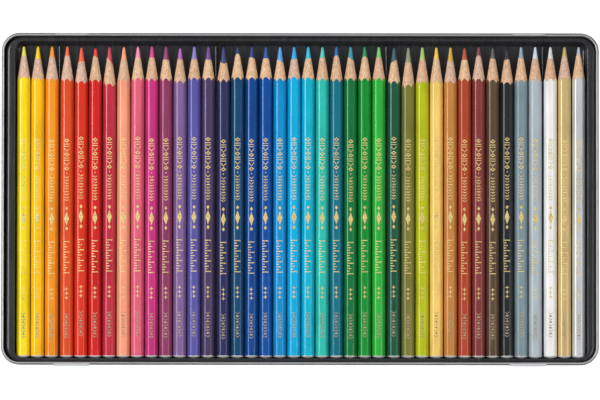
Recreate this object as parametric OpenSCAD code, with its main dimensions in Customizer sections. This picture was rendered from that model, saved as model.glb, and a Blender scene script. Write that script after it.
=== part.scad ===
// Flat tin of forty coloured pencils, standing open in its own upturned lid.
// Millimetres. X runs along the row of pencils, Y from the butt ends to the sharpened tips, Z up.
// The origin is the middle of the lid's flat face, on which the tin stands.
// The sizes build up from the pencils outwards: pencils, row, tray, base, lid.

/* [Pencils] */
// Length of a pencil from its tip to its dipped end
pencil_length = 176; // [165:1:185]
// Width of a pencil across two opposite flats
pencil_flats = 6.9; // [6.7:0.1:7.3]
// Width of a pencil across two opposite rounded corners
pencil_corners = 7.7; // [7.4:0.1:7.7]
// Diameter of the lead
lead_diameter = 3.3; // [2:0.1:3.8]
// Glue film between the lead and its bore, on the radius
glue_film = 0.02; // [0.01:0.01:0.05]
// Half angle of the sharpened cone, in degrees
sharpening_angle = 9.4; // [8:0.2:13]
// Diameter of the blunted tip
tip_diameter = 1.1; // [0.4:0.1:1.6]
// Height of the domed end
dome_height = 1.2; // [0.6:0.1:2]
// Thickness of the dipped cap that closes the bore, measured on the axis
cap_thickness = 1.6; // [1:0.1:3]

/* [Row] */
// Gap between two pencils of one group
pencil_gap = 0.25; // [0.2:0.05:0.8]
// Extra gap between two groups, where a divider stands
divider_gap = 0.6; // [0.4:0.1:1.5]

/* [Tray] */
// Thickness of the formed plastic sheet
tray_sheet = 0.5; // [0.4:0.1:0.8]
// Height of the groove floors above the floor of the wells
ride_height = 2.2; // [1.5:0.1:4]
// Height of the ridges between the grooves
ridge_height = 1.8; // [1:0.1:2.2]
// Gap between a pencil's lower facet and the side of its groove
groove_clearance = 0.3; // [0.2:0.05:0.4]
// Height of the flange above the top of the pencils
flange_above_pencils = 0.5; // [0:0.1:2]
// Width of the flange at the two ends of the row
side_flange = 4; // [2.5:0.1:8]
// Width of the flange behind the tips
back_flange = 2; // [1.3:0.05:5]
// Width of the flange in front of the butt ends
front_flange = 1.65; // [1.25:0.05:5]
// Radius of the shoulder that turns the flange down into the skirt
shoulder_radius = 1.2; // [0.8:0.1:1.2]
// Depth of the skirt below the top of the flange
skirt_depth = 5; // [3:0.5:8]
// Radius of the tray's outer corners
tray_corner_radius = 7.8; // [5:0.1:9]
// Radius of the corners of the tray's hollow
hollow_corner_radius = 5; // [3:0.5:7]
// How far the side walls of the hollow lean in from top to bottom
side_draft = 1.7; // [0.5:0.1:1.8]
// How far the back wall leans in from top to bottom
back_draft = 1.7; // [0.5:0.1:2.5]
// How far the front wall leans in from top to bottom
front_draft = 0.3; // [0.1:0.1:0.5]
// Room between the outermost pencils and the top edge of the hollow
side_room = 1.6; // [1.3:0.1:4]
// Room between the tips and the top edge of the hollow
tip_room = 3.2; // [2:0.1:6]
// Room between the butt ends and the top edge of the hollow
butt_room = 0.8; // [0.5:0.1:2]
// Length of the well under the tips, measured from the tips
tip_well = 27.4; // [20:0.1:40]
// Length of the well under the butt ends, measured from the butt ends
butt_well = 15.2; // [8:0.1:30]
// Thickness of a divider
divider_thickness = 1; // [0.6:0.1:1.1]
// Height of a divider above the floor of the wells
divider_height = 4.6; // [2.5:0.1:4.8]
// Gap between the tray and the base along the two long sides
tray_fit = 0.3; // [0.25:0.05:1]
// Gap between the tray and the base at the two ends, with the tray in the middle
tray_play = 0.9; // [0.9:0.1:1.6]
// How far the tray has slid from the middle towards +X
tray_shift = 0.6; // [0:0.1:0.6]

/* [Base] */
// Thickness of the tin plate
tin_sheet = 0.25; // [0.2:0.05:0.5]
// Diameter of the rolled rim
rim_diameter = 0.8; // [0.8:0.1:1.6]
// Height of the rim above the tray's flange
rim_above_flange = 3; // [2:0.1:6]
// Inner corner radius of the base
base_corner_radius = 8.7; // [8.7:0.1:14]
// Outer radius of the bend between the floor and the walls, for base and lid
bend_radius = 1.5; // [1:0.1:2]

/* [Lid] */
// Gap between the base's rolled rim and the lid's skirt
lid_clearance = 0.2; // [0.2:0.05:0.4]
// Gap between the lid's edge and the beads above it, with the lid under the base
stow_gap = 0.3; // [0.2:0.05:1]
// Diameter of the lid's hemmed edge
hem_diameter = 0.8; // [0.5:0.05:0.9]
// How far the base has slid in the upturned lid towards -Y
base_shift = 0.4; // [0:0.1:0.6]

/* [Snap] */
// Length of the snap beads and pockets
snap_length = 22; // [14:1:30]
// Distance of each snap from the middle of its long side
snap_offset = 128.5; // [60:0.5:140]
// Distance of the snaps from the top of the rim, and from the lid's inner face
snap_drop = 3.3; // [3.2:0.1:3.6]
// How far a bead reaches past the inside of the lid's skirt
snap_grip = 0.3; // [0.2:0.05:0.4]
// Depth of a pocket in the lid's skirt
pocket_depth = 0.8; // [0.6:0.05:1]
// Radius of a bead's rounded section
bead_radius = 1.8; // [1.8:0.1:2]

/* [Hidden] */
$fn = 96;

// Pencils in each group, from -X to +X.
GROUPS = [3, 11, 12, 11, 3];

// Name and lacquer of each pencil, from -X to +X.
PAINTS = [
    ["lemon_yellow", [0.96, 0.86, 0.05]],
    ["golden_yellow", [1.00, 0.78, 0.02]],
    ["orange", [0.97, 0.58, 0.10]],
    ["flame_red", [0.91, 0.28, 0.12]],
    ["vermilion", [0.90, 0.20, 0.10]],
    ["scarlet", [0.86, 0.12, 0.11]],
    ["ruby", [0.77, 0.16, 0.24]],
    ["salmon", [0.98, 0.63, 0.48]],
    ["raspberry", [0.91, 0.38, 0.48]],
    ["magenta", [0.82, 0.18, 0.50]],
    ["plum", [0.54, 0.23, 0.37]],
    ["lilac", [0.49, 0.37, 0.57]],
    ["periwinkle", [0.35, 0.34, 0.63]],
    ["dark_violet", [0.29, 0.23, 0.37]],
    ["indigo", [0.17, 0.19, 0.35]],
    ["prussian_blue", [0.07, 0.28, 0.43]],
    ["ultramarine", [0.06, 0.27, 0.59]],
    ["royal_blue", [0.04, 0.31, 0.61]],
    ["light_blue", [0.06, 0.55, 0.80]],
    ["sky_blue", [0.04, 0.65, 0.86]],
    ["turquoise_blue", [0.02, 0.70, 0.80]],
    ["turquoise_green", [0.16, 0.72, 0.67]],
    ["teal", [0.03, 0.44, 0.50]],
    ["deep_green", [0.03, 0.45, 0.23]],
    ["leaf_green", [0.05, 0.55, 0.20]],
    ["grass_green", [0.19, 0.67, 0.24]],
    ["fir_green", [0.12, 0.34, 0.25]],
    ["olive", [0.47, 0.47, 0.23]],
    ["lime", [0.72, 0.75, 0.05]],
    ["cream_yellow", [0.95, 0.80, 0.42]],
    ["ochre", [0.75, 0.51, 0.25]],
    ["russet", [0.67, 0.27, 0.16]],
    ["red_brown", [0.51, 0.22, 0.23]],
    ["sepia", [0.35, 0.28, 0.21]],
    ["black", [0.16, 0.17, 0.18]],
    ["blue_grey", [0.49, 0.56, 0.62]],
    ["light_grey", [0.66, 0.71, 0.74]],
    ["white", [0.94, 0.94, 0.93]],
    ["gold", [0.81, 0.71, 0.48]],
    ["silver", [0.76, 0.77, 0.79]]
];
PENCILS = [0 : len(PAINTS) - 1];
TIN_COLOUR = [0.80, 0.81, 0.83];
TRAY_COLOUR = [0.10, 0.10, 0.11];

function two_digits(n) = n < 10 ? str("0", n) : str(n);
function pencil_name(i) = str("pencil_", two_digits(i + 1), "_", PAINTS[i][0]);

// A small overlap that keeps one cut clear of another's face.
over = 1;
// How far inside the foot of its walls the tray's floor is parted from its sides.
seam_inset = 0.2;

// --- Places along the row
function sum_to(list, n) = n == 0 ? 0 : list[n - 1] + sum_to(list, n - 1);
function dividers_before(i) = len([for (g = [1 : len(GROUPS) - 1]) if (i >= sum_to(GROUPS, g)) g]);
pencil_pitch = pencil_corners + pencil_gap;
row_span = (len(PAINTS) - 1) * pencil_pitch + (len(GROUPS) - 1) * divider_gap;
function pencil_x(i) = -row_span / 2 + i * pencil_pitch + dividers_before(i) * divider_gap;
function divider_x(g) = (pencil_x(sum_to(GROUPS, g) - 1) + pencil_x(sum_to(GROUPS, g))) / 2;

// --- Half sizes across X, from the row outwards
hollow_half_x = row_span / 2 + pencil_corners / 2 + side_room;
tray_half_x = hollow_half_x + side_flange;
base_half_x = tray_half_x + tray_play;

// --- Places along Y, with the tin in the middle
hollow_length = pencil_length + tip_room + butt_room;
tray_half_y = (hollow_length + back_flange + front_flange) / 2;
base_half_y = tray_half_y + tray_fit;
hollow_front = -tray_half_y + front_flange;
hollow_back = tray_half_y - back_flange;
butt_y = hollow_front + butt_room;
tip_y = butt_y + pencil_length;
platform_front = butt_y + butt_well;
platform_back = tip_y - tip_well;

// --- Heights, from the surface the lid lies on
base_z = tin_sheet;
tray_z = base_z + tin_sheet;
well_z = tray_z + tray_sheet;
groove_z = well_z + ride_height;
ridge_z = groove_z + ridge_height;
pencil_z = groove_z + pencil_flats / 2;
flange_z = groove_z + pencil_flats + flange_above_pencils;
rim_z = flange_z + rim_above_flange;

// --- The lid, whose skirt fits over the base's rim
skirt_inside = rim_diameter + lid_clearance;
lid_half_x = base_half_x + skirt_inside + tin_sheet;
lid_half_y = base_half_y + skirt_inside + tin_sheet;
lid_corner_radius = base_corner_radius + skirt_inside + tin_sheet;
bead_half_height = sqrt(bead_radius * bead_radius - pow(bead_radius - snap_grip, 2));
lid_height = rim_z - snap_drop - bead_half_height - stow_gap;

// Sweeps a section along the four straight sides of a rounded rectangle: the section's X is the
// distance outwards from the corners' centres, and its Y is the height.
module sweep_sides(half_x, half_y, corner_radius) {
    for (k = [0 : 3]) {
        near = (k % 2 == 0 ? half_x : half_y) - corner_radius;
        far = (k % 2 == 0 ? half_y : half_x) - corner_radius;
        rotate(90 * k) translate([near, far, 0])
            rotate([90, 0, 0]) linear_extrude(2 * far) children();
    }
}

// Turns the same section round the four corners.
module sweep_corners(half_x, half_y, corner_radius) {
    for (k = [0 : 3]) {
        near = (k % 2 == 0 ? half_x : half_y) - corner_radius;
        far = (k % 2 == 0 ? half_y : half_x) - corner_radius;
        rotate(90 * k) translate([near, far, 0]) rotate_extrude(angle = 90) children();
    }
}

// A plain plate between the corners' centres, which closes a swept section in the middle.
module middle_plate(half_x, half_y, corner_radius, z, thickness) {
    translate([corner_radius - half_x, corner_radius - half_y, z])
        cube([2 * (half_x - corner_radius), 2 * (half_y - corner_radius), thickness]);
}

// A quarter section of a block with one rounded lower edge.
module block_section(reach, height, bend) {
    translate([0, bend]) square([reach, height - bend]);
    square([reach - bend, bend]);
    translate([reach - bend, bend]) circle(bend);
}

// Section of a pan's side: the bend that leaves the flat floor, the wall, and the edge rolled outwards.
module pan_side_section(reach, height, edge_diameter) {
    wire = edge_diameter / 2;
    difference() {
        intersection() {
            block_section(reach, height, bend_radius);
            translate([reach - bend_radius, 0]) square([bend_radius, height - wire]);
        }
        translate([-over, tin_sheet])
            block_section(reach - tin_sheet + over, height, bend_radius - tin_sheet);
    }
    translate([reach - tin_sheet + wire, height - wire]) circle(wire);
}

// The flat floor of a pan, inside its bends.
module pan_floor(half_x, half_y, corner_radius) {
    round_prism(half_x - bend_radius, half_y - bend_radius, corner_radius - bend_radius, tin_sheet);
}

// A lying bar with round ends, whose side reaches out past the plane Y = 0 by the given reach.
module snap_bar(radius, reach, length) {
    half = length / 2 - radius;
    translate([0, reach - radius, 0]) {
        rotate([0, 90, 0]) cylinder(r = radius, h = 2 * half, center = true);
        for (side = [-1, 1]) translate([side * half, 0, 0]) sphere(r = radius);
    }
}

// Puts a shape at each of the four snaps, facing outwards from the two long sides.
module at_snaps(face_y, z) {
    for (side = [0, 180], offset_x = [-1, 1])
        rotate(side) translate([offset_x * snap_offset, face_y, z]) children();
}

// The outer half of a snap bar, in front of the plane Y = 0.
module outer_snap_bar(radius, reach, length) {
    intersection() {
        snap_bar(radius, reach, length);
        translate([-length / 2, 0, -radius]) cube([length, reach, 2 * radius]);
    }
}

// --- The lid. It is one pressing, drawn as its floor, its four sides and its four corners.
module lid_floor() {
    color(TIN_COLOUR) pan_floor(lid_half_x, lid_half_y, lid_corner_radius);
}

module lid_sides() {
    inner_y = lid_half_y - tin_sheet;
    snap_z = base_z + snap_drop;
    color(TIN_COLOUR) difference() {
        union() {
            sweep_sides(lid_half_x, lid_half_y, lid_corner_radius)
                pan_side_section(lid_corner_radius, lid_height, hem_diameter);
            at_snaps(inner_y, snap_z)
                outer_snap_bar(bead_radius + tin_sheet, pocket_depth + tin_sheet,
                               snap_length + 2 * tin_sheet);
        }
        at_snaps(inner_y, snap_z) snap_bar(bead_radius, pocket_depth, snap_length);
    }
}

module lid_corners() {
    color(TIN_COLOUR) sweep_corners(lid_half_x, lid_half_y, lid_corner_radius)
        pan_side_section(lid_corner_radius, lid_height, hem_diameter);
}

// --- The base, drawn in the same three ways
base_outer_x = base_half_x + tin_sheet;
base_outer_y = base_half_y + tin_sheet;
base_outer_radius = base_corner_radius + tin_sheet;
base_height = rim_z - base_z;

module base_floor() {
    color(TIN_COLOUR) translate([0, -base_shift, base_z])
        pan_floor(base_outer_x, base_outer_y, base_outer_radius);
}

module base_sides() {
    snap_z = base_height - snap_drop;
    bead_reach = skirt_inside - tin_sheet + snap_grip;
    color(TIN_COLOUR) translate([0, -base_shift, base_z]) difference() {
        union() {
            sweep_sides(base_outer_x, base_outer_y, base_outer_radius)
                pan_side_section(base_outer_radius, base_height, rim_diameter);
            at_snaps(base_outer_y, snap_z) outer_snap_bar(bead_radius, bead_reach, snap_length);
        }
        at_snaps(base_outer_y, snap_z)
            snap_bar(bead_radius - tin_sheet, bead_reach - tin_sheet, snap_length - 2 * tin_sheet);
    }
}

module base_corners() {
    color(TIN_COLOUR) translate([0, -base_shift, base_z])
        sweep_corners(base_outer_x, base_outer_y, base_outer_radius)
            pan_side_section(base_outer_radius, base_height, rim_diameter);
}

// Top outline of the grooves, from -X to +X.
groove_foot = pencil_flats / 2 * tan(30) + groove_clearance / cos(30);
groove_mouth = groove_foot + ridge_height * tan(30);
groove_outline = [
    for (i = PENCILS, corner = [[-groove_mouth, ridge_z], [-groove_foot, groove_z],
                                [groove_foot, groove_z], [groove_mouth, ridge_z]])
        [pencil_x(i) + corner[0], corner[1]]
];

// The space above the grooves, or with a drop of one sheet and turned over, the space under them.
module along_grooves(front, back, drop, far_z, reach_x) {
    translate([0, back, 0]) rotate([90, 0, 0]) linear_extrude(back - front)
        polygon(concat(
            [[-reach_x, far_z], [-reach_x, ridge_z - drop]],
            [for (point = groove_outline) [point[0], point[1] - drop]],
            [[reach_x, ridge_z - drop], [reach_x, far_z]]
        ));
}

// The hollow's drafted block, grown by one sheet for its outer skin, with its bottom at the given height.
module drafted_block(grow, bottom_z, top_z) {
    depth = flange_z - well_z;
    function lean(draft, z) = draft * (flange_z - z) / depth;
    function side(z) = hollow_half_x + grow - lean(side_draft, z);
    function back(z) = hollow_back + grow - lean(back_draft, z);
    function front(z) = hollow_front - grow + lean(front_draft, z);
    radius = hollow_corner_radius + grow;
    intersection() {
        translate([0, tray_half_y, 0]) rotate([90, 0, 0]) linear_extrude(2 * tray_half_y)
            polygon([[-side(bottom_z), bottom_z], [side(bottom_z), bottom_z],
                     [side(top_z), top_z], [-side(top_z), top_z]]);
        translate([-tray_half_x, 0, 0]) rotate([90, 0, 90]) linear_extrude(2 * tray_half_x)
            polygon([[front(bottom_z), bottom_z], [back(bottom_z), bottom_z],
                     [back(top_z), top_z], [front(top_z), top_z]]);
        translate([0, (hollow_back + hollow_front) / 2, bottom_z - over])
            round_prism(side(flange_z), hollow_length / 2 + grow, radius, top_z - bottom_z + 2 * over);
    }
}

// A prism on a rounded rectangle.
module round_prism(half_x, half_y, radius, height) {
    linear_extrude(height) union() {
        square([2 * (half_x - radius), 2 * half_y], center = true);
        square([2 * half_x, 2 * (half_y - radius)], center = true);
        for (x = [-1, 1], y = [-1, 1])
            translate([x * (half_x - radius), y * (half_y - radius)]) circle(radius);
    }
}

// Section of the flange: flat, shoulder and skirt, with its top at height 0.
module flange_section() {
    difference() {
        mirror([0, 1]) block_section(tray_corner_radius, skirt_depth, shoulder_radius);
        translate([-over, -tray_sheet]) mirror([0, 1])
            block_section(tray_corner_radius - tray_sheet + over, skirt_depth,
                          shoulder_radius - tray_sheet);
    }
}

// The whole formed sheet without its dividers, before it is parted.
module formed_sheet() {
    difference() {
        union() {
            translate([0, 0, flange_z]) {
                sweep_sides(tray_half_x, tray_half_y, tray_corner_radius) flange_section();
                sweep_corners(tray_half_x, tray_half_y, tray_corner_radius) flange_section();
            }
            middle_plate(tray_half_x, tray_half_y, tray_corner_radius,
                         flange_z - tray_sheet, tray_sheet);
            drafted_block(tray_sheet, tray_z, flange_z);
        }
        // the hollow, down to the wells at both ends and to the grooves between them
        intersection() {
            drafted_block(0, well_z, flange_z + over);
            union() {
                along_grooves(platform_front, platform_back, 0, flange_z + 2 * over, tray_half_x);
                translate([-tray_half_x, platform_back, tray_z])
                    cube([2 * tray_half_x, tip_well + tray_half_y, rim_z]);
                translate([-tray_half_x, platform_front - 2 * butt_well, tray_z])
                    cube([2 * tray_half_x, 2 * butt_well, rim_z]);
            }
        }
        // the open underside of the platform, which is one sheet thick
        along_grooves(platform_front + tray_sheet, platform_back - tray_sheet, tray_sheet,
                      tray_z - over, tray_half_x);
    }
}

// --- The tray. It is one formed sheet, parted into the flat floors of its two wells, the grooved
// platform, the dividers, the four sides and the four corners, so that each is a simple solid and the
// hollow stays open between them.
seam_x = hollow_half_x - side_draft - seam_inset;
seam_back = hollow_back - back_draft - seam_inset;
seam_front = hollow_front + front_draft + seam_inset;
corner_x = min(tray_half_x - tray_corner_radius, hollow_half_x - hollow_corner_radius);
corner_y = min(tray_half_y - tray_corner_radius, hollow_back - hollow_corner_radius,
               -hollow_front - hollow_corner_radius);

// The space between two places along Y, as wide as the tray's floor.
module floor_space(front, back, bottom_z, top_z) {
    translate([-seam_x, front, bottom_z]) cube([2 * seam_x, back - front, top_z - bottom_z]);
}

module well_floors() {
    floor_space(seam_front, platform_front, tray_z, well_z);
    floor_space(platform_back, seam_back, tray_z, well_z);
}

module platform_space() {
    floor_space(platform_front, platform_back, 0, rim_z);
}

module corner_spaces() {
    reach_x = tray_half_x + over - corner_x;
    reach_y = tray_half_y + over - corner_y;
    for (x = [-1, 1], y = [-1, 1])
        translate([x * (corner_x + reach_x / 2), y * (corner_y + reach_y / 2), rim_z / 2])
            cube([reach_x, reach_y, rim_z], center = true);
}

// Puts a piece of the tray in its place in the base.
module in_base() {
    color(TRAY_COLOUR) translate([tray_shift, -base_shift, 0]) children();
}

module tray_wells() {
    in_base() well_floors();
}

module tray_platform() {
    in_base() intersection() {
        formed_sheet();
        platform_space();
    }
}

// Thin upright walls in the wells between the groups of pencils.
module tray_dividers() {
    in_base() intersection() {
        drafted_block(0, well_z, flange_z);
        for (g = [1 : len(GROUPS) - 1]) translate([divider_x(g) - divider_thickness / 2, 0, well_z]) {
            translate([0, platform_back, 0])
                cube([divider_thickness, hollow_back - platform_back, divider_height]);
            translate([0, hollow_front, 0])
                cube([divider_thickness, platform_front - hollow_front, divider_height]);
        }
    }
}

module tray_sides() {
    in_base() difference() {
        formed_sheet();
        well_floors();
        platform_space();
        corner_spaces();
    }
}

module tray_corners() {
    in_base() difference() {
        intersection() {
            formed_sheet();
            corner_spaces();
        }
        well_floors();
    }
}

// --- One pencil along +Z with its tip at the origin and two flats facing the sides Y
corner_radius = pencil_corners / 2;
tip_radius = tip_diameter / 2;
lead_radius = lead_diameter / 2;
function cone_end(radius) = (radius - tip_radius) / tan(sharpening_angle);
function dome_radius(reach) = (reach * reach + dome_height * dome_height) / (2 * dome_height);

module casing() {
    straight_end = pencil_length - dome_height;
    difference() {
        intersection() {
            cylinder(d = pencil_flats / cos(30), h = pencil_length, $fn = 6);
            rotate_extrude() union() {
                polygon([[0, 0], [tip_radius, 0], [corner_radius, cone_end(corner_radius)],
                         [corner_radius, straight_end], [0, straight_end]]);
                intersection() {
                    translate([0, pencil_length - dome_radius(corner_radius)])
                        circle(dome_radius(corner_radius));
                    translate([0, straight_end]) square([corner_radius, dome_height]);
                }
            }
        }
        translate([0, 0, -over])
            cylinder(r = lead_radius + glue_film, h = pencil_length - cap_thickness + over);
    }
}

module lead() {
    lead_end = pencil_length - cap_thickness - glue_film;
    rotate_extrude() polygon([[0, 0], [tip_radius, 0], [lead_radius, cone_end(lead_radius)],
                              [lead_radius, lead_end], [0, lead_end]]);
}

module pencil(i) {
    color(PAINTS[i][1])
        translate([tray_shift + pencil_x(i), tip_y - base_shift, pencil_z]) rotate([90, 0, 0]) {
            casing();
            lead();
        }
}

lid_floor();
lid_sides();
lid_corners();
base_floor();
base_sides();
base_corners();
tray_wells();
tray_platform();
tray_dividers();
tray_sides();
tray_corners();
for (i = PENCILS) pencil(i);
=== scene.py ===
"""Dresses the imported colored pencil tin: lid, base, formed tray and forty pencils."""

import math
import random

import bpy
from mathutils import Matrix, Vector


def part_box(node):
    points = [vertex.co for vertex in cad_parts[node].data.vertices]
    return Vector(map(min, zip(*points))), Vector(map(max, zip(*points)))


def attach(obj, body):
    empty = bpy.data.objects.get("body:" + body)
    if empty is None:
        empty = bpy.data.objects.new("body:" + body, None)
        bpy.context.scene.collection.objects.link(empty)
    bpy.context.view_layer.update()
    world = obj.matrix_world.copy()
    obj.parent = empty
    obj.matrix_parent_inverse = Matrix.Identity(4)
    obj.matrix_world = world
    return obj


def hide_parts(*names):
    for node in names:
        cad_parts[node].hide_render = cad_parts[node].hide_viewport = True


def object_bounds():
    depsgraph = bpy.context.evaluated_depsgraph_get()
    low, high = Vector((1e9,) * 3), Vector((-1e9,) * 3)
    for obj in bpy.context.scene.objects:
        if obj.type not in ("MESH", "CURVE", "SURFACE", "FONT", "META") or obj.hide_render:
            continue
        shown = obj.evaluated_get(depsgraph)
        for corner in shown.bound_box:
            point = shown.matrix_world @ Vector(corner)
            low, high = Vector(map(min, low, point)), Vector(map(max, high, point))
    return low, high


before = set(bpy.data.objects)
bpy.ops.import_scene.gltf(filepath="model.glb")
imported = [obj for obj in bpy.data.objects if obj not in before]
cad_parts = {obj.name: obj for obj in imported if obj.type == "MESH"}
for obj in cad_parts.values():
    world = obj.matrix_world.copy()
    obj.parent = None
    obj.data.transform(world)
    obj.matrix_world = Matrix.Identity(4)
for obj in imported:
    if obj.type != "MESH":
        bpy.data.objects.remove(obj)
CAD_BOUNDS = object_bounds()

MM = 0.001
PENCIL_NODES = sorted(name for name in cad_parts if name.startswith("pencil_"))
TRAY_NODES = [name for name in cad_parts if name.startswith("tray_")]

# --- Sizes in millimetres that the frame's boxes don't give -------------------------------------

# tin plate
SHEET = 0.25
BEND_RADIUS = 1.5
RIM_DIAMETER = 0.8
HEM_DIAMETER = 0.8
BASE_CORNER = 8.95  # outer corner radii
LID_CORNER = 9.95
FLOOR_REACH = 0.6  # from the corners' centres to the edge of the plain floor
SNAP_OFFSET = 128.5  # from the middle of a long side to the middle of a snap
SNAP_LENGTH = 22.0
SNAP_FADE = 2.2  # over which a snap rises at its ends
SNAP_DROP = 3.3  # how far below the base's rim the snaps are
SNAP_HALF_HEIGHT = 1.6
BEAD_DEPTH = 1.05
POCKET_DEPTH = 0.8

# formed tray
TRAY_SHEET = 0.5
DRAWN_SHEET = 0.9  # thickness of the drawn sheet, as a share of the solid one
TRAY_CORNER = 9.0
HOLLOW_SWELL = 0.45  # how far the hollow's walls and the west of the skirt stand proud of the solid tray
SKIRT_SWELL = 0.2  # the same for the skirt's front and back; its east side lies on the solid
HOLLOW_TAPER = 2.0  # how much tighter the hollow's corners are beside the pencils than at the flange
TAPER_SHARE = 0.3  # the share of the wall's height over which they tighten
SHOULDER = 1.9
FLANGE_EDGE = 0.3  # rounding between the flange and the hollow
FILLET = 0.9  # rounding between the hollow and the wells
SKIRT_DEPTH = 5.0
SIDE_FLANGE = 4.0
BACK_FLANGE = 2.0
FRONT_FLANGE = 1.65
SIDE_DRAFT = 1.7
BACK_DRAFT = 1.7
FRONT_DRAFT = 0.3
HOLLOW_CORNER = 5.0
RIDE_HEIGHT = 2.2
RIDGE_HEIGHT = 1.8
GROOVE_CLEARANCE = 0.3
TIP_WELL = 27.4
BUTT_WELL = 15.2
PLATFORM_STEPS = 8
DIVIDER_THICKNESS = 1.0
DIVIDER_HEIGHT = 4.6
# how the platform rises at its ends, as (distance into it, share of its height)
PLATFORM_RISE = ((-0.35, 0.0), (-0.15, 0.04), (0.0, 0.20), (0.1, 0.55), (0.2, 0.88), (0.35, 0.98), (0.6, 1.0))

# pencils
FLATS = 6.9
CORNERS = 7.5
CONE_LENGTH = 17.46  # from the tip to where the middle of a flat meets the cone
TIP_RADIUS = 0.55
DOME_HEIGHT = 1.2
DOME_RADIUS = ((CORNERS / 2) ** 2 + DOME_HEIGHT ** 2) / (2 * DOME_HEIGHT)
DIP_LENGTH = 1.08  # from the end to the dip's edge on the flats
LACQUER = 0.02  # film of lacquer, and of the dip over it
FACET_BULGE = 0.045  # how far a flat is rounded outwards at its middle
FACET_PARTS = (0.06, 0.28, 0.5, 0.72, 0.94)  # places of a flat's points between two corners
SCALLOP = 0.82  # how far down the corners the wood reaches, of a plain cone's depth
BORE_RINGS = ((0.25, 0.30), (0.02, 0.05))  # distances past the lead's end and below the cone
CONE_RINGS = (0.012, 0.05, 0.15, 0.3, 0.45, 0.6, 0.75, 0.88, 0.96)  # from the lead to the lacquer's edge
BARREL_RINGS = (24, 45, 75, 105, 135, 160)  # distances from the tip
DOME_RINGS = (1.0, 0.985, 0.95, 0.89, 0.8, 0.66, 0.48, 0.26, 0.08)  # shares of the barrel's section
POINT_RINGS = (0.04, 0.12, 0.25, 0.42, 0.65, 1.0)  # distances from the tip over its rounding
LEAD_RINGS = (0.2, 0.45, 0.7, 0.9, 1.0)  # from the tip's rounding to the wood
LEAD_STEPS = 48

GROUPS = (3, 11, 12, 11, 3)  # pencils between the dividers
SEED = 700

# Lacquer and lead of each pencil, as display colours in percent. All were chosen one by one. Then 19
# lacquers and 8 leads were corrected by comparing mean colours of the render and the photo.
PAINTS = {
    "lemon_yellow": ((95, 84, 2), (95, 88, 34)),
    "golden_yellow": ((97, 75, 0), (100, 82, 2)),
    "orange": ((94, 57, 6), (100, 60, 14)),
    "flame_red": ((85, 29, 11), (100, 42, 20)),
    "vermilion": ((85, 19, 9), (97, 36, 23)),
    "scarlet": ((81, 11, 10), (94, 25, 19)),
    "ruby": ((74, 16, 24), (82, 26, 34)),
    "salmon": ((95, 61, 48), (100, 65, 48)),
    "raspberry": ((87, 37, 47), (96, 56, 69)),
    "magenta": ((78, 18, 48), (87, 25, 57)),
    "plum": ((56, 22, 38), (59, 25, 44)),
    "lilac": ((50, 37, 58), (72, 38, 75)),
    "periwinkle": ((35, 33, 63), (56, 51, 80)),
    "dark_violet": ((29, 23, 38), (47, 29, 57)),
    "indigo": ((17, 18, 36), (24, 24, 45)),
    "prussian_blue": ((6, 28, 44), (14, 25, 47)),
    "ultramarine": ((1, 27, 56), (16, 26, 52)),
    "royal_blue": ((0, 30, 61), (10, 33, 59)),
    "light_blue": ((0, 56, 80), (37, 65, 93)),
    "sky_blue": ((0, 67, 86), (21, 67, 94)),
    "turquoise_blue": ((0, 70, 81), (19, 74, 88)),
    "turquoise_green": ((15, 74, 68), (37, 80, 75)),
    "teal": ((3, 44, 52), (9, 45, 68)),
    "deep_green": ((2, 46, 23), (24, 60, 67)),
    "leaf_green": ((3, 56, 19), (13, 57, 35)),
    "grass_green": ((17, 69, 23), (46, 82, 41)),
    "fir_green": ((9, 34, 24), (22, 38, 41)),
    "olive": ((47, 47, 20), (57, 60, 46)),
    "lime": ((72, 75, 3), (69, 82, 44)),
    "cream_yellow": ((96, 80, 42), (100, 80, 28)),
    "ochre": ((76, 51, 24), (85, 67, 22)),
    "russet": ((68, 27, 15), (75, 34, 22)),
    "red_brown": ((52, 22, 22), (54, 28, 31)),
    "sepia": ((36, 28, 21), (39, 38, 37)),
    "black": ((15, 16, 17), (19, 20, 22)),
    "blue_grey": ((49, 57, 60), (59, 66, 72)),
    "light_grey": ((68, 73, 75), (82, 86, 91)),
    "white": ((94, 94, 93), (87, 87, 86)),
    "gold": ((86, 75, 51), (78, 72, 41)),
    "silver": ((83, 84, 85), (72, 74, 79)),
}
METALLIC_PAINTS = ("gold", "silver")
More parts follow.
